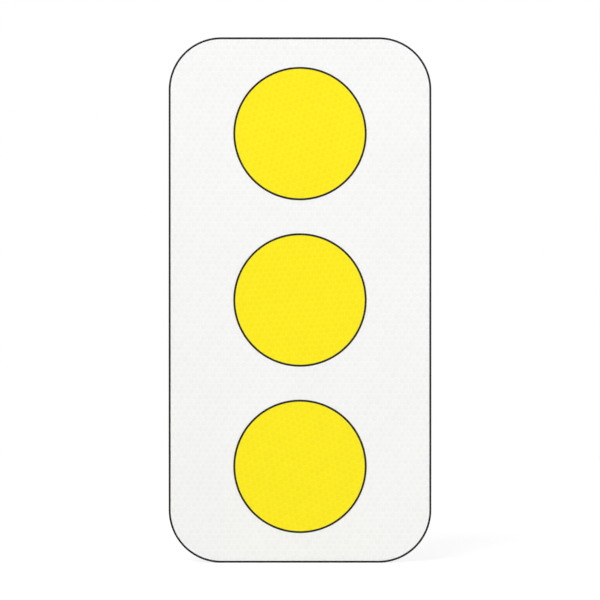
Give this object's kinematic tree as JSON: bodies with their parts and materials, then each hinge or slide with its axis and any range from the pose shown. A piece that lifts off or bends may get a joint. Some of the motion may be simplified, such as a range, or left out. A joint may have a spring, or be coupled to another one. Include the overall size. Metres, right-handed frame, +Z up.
{
  "type": "object marker sign",
  "caption": "Small upright roadside marker: a white round-cornered aluminium panel with a column of yellow retroreflective discs, bolted to a post through its back.",
  "frame": {"origin": "centre of the blank's flat rear face", "axes": "+Y is out of the rear face, towards the post, so the sign faces -Y; +Z is up along the panel's height; +X is to the right as a driver sees the sign"},
  "size_m": [0.1524, 0.0028, 0.3048],
  "materials": {
    "blank": "bare mill-finish 5052 sheet, rolled lengthwise",
    "white_film": "white retroreflective sheeting with a fine honeycomb of sealed cells under a glossy top film",
    "yellow_film": "yellow retroreflective sheeting with a fine honeycomb of sealed cells under a glossy top film",
    "edge_sealer": "satin black edge sealer laid as a thin bead"
  },
  "bodies": {
    "root": {"sign_blank": "blank", "white_sheeting": "white_film", "panel_edge_seal": "edge_sealer", "top_reflector": "yellow_film", "middle_reflector": "yellow_film", "bottom_reflector": "yellow_film", "top_reflector_seal": "edge_sealer", "middle_reflector_seal": "edge_sealer", "bottom_reflector_seal": "edge_sealer"}
  },
  "joints": []
}
